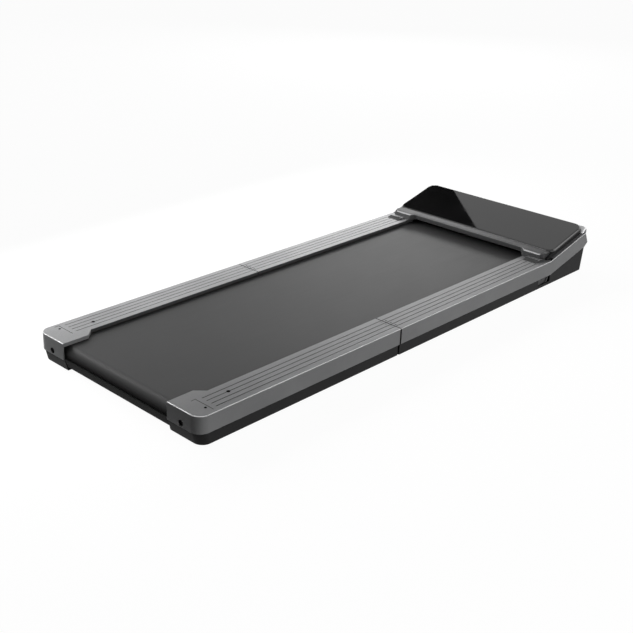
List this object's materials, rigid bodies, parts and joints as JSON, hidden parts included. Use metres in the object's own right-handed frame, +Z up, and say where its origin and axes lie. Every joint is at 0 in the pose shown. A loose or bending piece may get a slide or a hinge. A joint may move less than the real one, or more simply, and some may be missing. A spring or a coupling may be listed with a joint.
{
  "type": "folding walking pad",
  "caption": "Low folding walking pad: silver grooved side rails, running belt, dark base, raised motor hood with a glossy slanted display; the rear half folds onto the front.",
  "frame": {"origin": "on the floor, below the middle of the pad's length and width", "axes": "+X toward the motor hood, +Y toward the left rail, +Z up"},
  "size_m": [1.432, 0.547, 0.1273],
  "materials": {
    "silver_cover": "fine satin, silver grey",
    "dark_base": "fine grained",
    "gloss_black": "polished",
    "belt": "fine woven texture",
    "rubber": "matte",
    "wheel_grey": "satin",
    "rocker_black": "satin",
    "frame_steel": "satin black",
    "bright_steel": "ground",
    "motor_black": "satin black",
    "sink_aluminium": "extruded",
    "board": "lacquered",
    "deck_board": "waxed fibre board"
  },
  "bodies": {
    "front_section": {"front_cover_left": "silver_cover", "front_cover_right": "silver_cover", "front_beam_left": "frame_steel", "front_beam_right": "frame_steel", "hinge_leaf_front_left": "bright_steel", "hinge_leaf_front_right": "bright_steel", "hinge_pins_front": "bright_steel", "bumper_left": "rubber", "bumper_right": "rubber", "foot_nose_left": "rubber", "foot_nose_right": "rubber", "foot_fold_left": "rubber", "foot_fold_right": "rubber", "wheel_axles": "bright_steel", "front_deck": "deck_board", "front_cross_members": "frame_steel", "front_cushions": "rubber", "front_pan": "dark_base", "hood_shell": "silver_cover", "display_housing": "dark_base", "display_lens": "gloss_black", "display_board": "board", "running_belt": "belt", "drive_bearing_left": "bright_steel", "drive_bearing_right": "bright_steel", "motor_body": "motor_black", "motor_bracket": "frame_steel", "drive_belt": "rubber", "power_inlet": "dark_base", "switch_frame": "dark_base", "controller_board": "board", "controller_heatsink": "sink_aluminium"},
    "fold_links": {"fold_links_left": "bright_steel", "fold_links_right": "bright_steel"},
    "rear_section": {"rear_cover_left": "silver_cover", "rear_cover_right": "silver_cover", "rear_beam_left": "frame_steel", "rear_beam_right": "frame_steel", "hinge_leaf_rear_left": "bright_steel", "hinge_leaf_rear_right": "bright_steel", "hinge_pins_rear": "bright_steel", "foot_tail_left": "rubber", "foot_tail_right": "rubber", "cover_screws": "bright_steel", "rear_deck": "deck_board", "rear_cross_members": "frame_steel", "rear_cushions": "rubber", "rear_pan": "dark_base", "tail_crossbar": "dark_base"},
    "tail_axle": {"tail_axle": "bright_steel"},
    "tail_roller": {"tail_roller": "bright_steel"},
    "tension_bolt_left": {"tension_bolt_left": "bright_steel"},
    "tension_bolt_right": {"tension_bolt_right": "bright_steel"},
    "drive_roller": {"drive_roller": "bright_steel", "drive_pulley": "sink_aluminium"},
    "motor_rotor": {"motor_rotor": "bright_steel"},
    "transport_wheel_left": {"transport_wheel_left": "wheel_grey"},
    "transport_wheel_right": {"transport_wheel_right": "wheel_grey"},
    "power_rocker": {"power_rocker": "rocker_black"}
  },
  "joints": [
    {"name": "fold_front", "type": "hinge", "parent": "front_section", "child": "fold_links", "pos_m": [-0.0985, 0, 0.066], "axis": [0, 1, 0], "range_deg": [0, 90], "deforming": ["running_belt"]},
    {"name": "fold_rear", "type": "hinge", "parent": "fold_links", "child": "rear_section", "pos_m": [-0.1095, 0, 0.066], "axis": [0, 1, 0], "range_deg": [0, 90], "deforming": ["running_belt"]},
    {"name": "tail_take_up", "type": "slide", "parent": "rear_section", "child": "tail_axle", "axis": [1, 0, 0], "range_m": [-0.002, 0.006], "deforming": ["running_belt"]},
    {"name": "tail_spin", "type": "hinge", "parent": "tail_axle", "child": "tail_roller", "pos_m": [-0.689, 0, 0.0385], "axis": [0, 1, 0], "continuous": true},
    {"name": "bolt_turn_left", "type": "hinge", "parent": "rear_section", "child": "tension_bolt_left", "pos_m": [-0.706, 0.2195, 0.0385], "axis": [1, 0, 0], "range_deg": [-730, 2170]},
    {"name": "bolt_turn_right", "type": "hinge", "parent": "rear_section", "child": "tension_bolt_right", "pos_m": [-0.706, -0.2195, 0.0385], "axis": [1, 0, 0], "range_deg": [-730, 2170]},
    {"name": "drive_spin", "type": "hinge", "parent": "front_section", "child": "drive_roller", "pos_m": [0.548, 0, 0.0385], "axis": [0, 1, 0], "continuous": true},
    {"name": "motor_spin", "type": "hinge", "parent": "front_section", "child": "motor_rotor", "pos_m": [0.64, 0, 0.05], "axis": [0, 1, 0], "continuous": true},
    {"name": "wheel_spin_left", "type": "hinge", "parent": "front_section", "child": "transport_wheel_left", "pos_m": [0.509, 0.2565, 0.0255], "axis": [0, 1, 0], "continuous": true},
    {"name": "wheel_spin_right", "type": "hinge", "parent": "front_section", "child": "transport_wheel_right", "pos_m": [0.509, -0.2565, 0.0255], "axis": [0, 1, 0], "continuous": true},
    {"name": "rocker_tip", "type": "hinge", "parent": "front_section", "child": "power_rocker", "pos_m": [0.693, -0.066, 0.032], "axis": [0, 1, 0], "range_deg": [-10, 10]}
  ],
  "couplings": [
    {"joint": "tail_spin", "follows": "drive_spin", "ratio": 1},
    {"joint": "motor_spin", "follows": "drive_spin", "ratio": 2},
    {"joint": "bolt_turn_left", "follows": "tail_take_up", "rad_per_m": 6283.2},
    {"joint": "bolt_turn_right", "follows": "tail_take_up", "rad_per_m": 6283.2}
  ]
}
